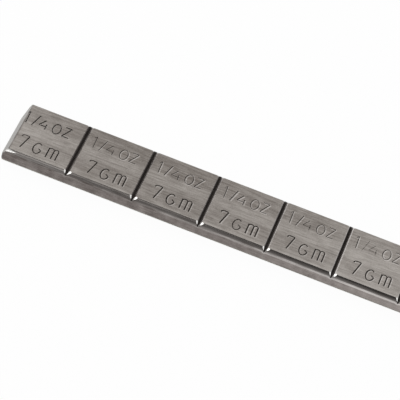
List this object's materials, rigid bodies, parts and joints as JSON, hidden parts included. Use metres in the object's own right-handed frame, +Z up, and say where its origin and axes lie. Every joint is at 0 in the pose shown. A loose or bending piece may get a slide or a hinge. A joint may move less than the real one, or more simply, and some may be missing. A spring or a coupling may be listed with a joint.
{
  "type": "wheel balance weight strip",
  "caption": "Flat strip of lead balance weights joined at pressed notches, with rolled shoulders and adhesive foam tape under a paper liner, for sticking to a wheel rim.",
  "frame": {"origin": "under the middle of the strip, on the underside of the liner", "axes": "+X along the strip, +Y across it, away from the edge that faces the viewer in the picture, +Z up, out of the marked face"},
  "size_m": [0.1704, 0.0162, 0.0034],
  "materials": {
    "lead": "rolled lead, dull, streaked along the strip, dark in the notches",
    "foam_tape": "white closed-cell foam",
    "liner_paper": "pale coated paper"
  },
  "bodies": {
    "root": {"weight_strip": "lead", "adhesive_tape": "foam_tape", "release_liner": "liner_paper"}
  },
  "joints": []
}
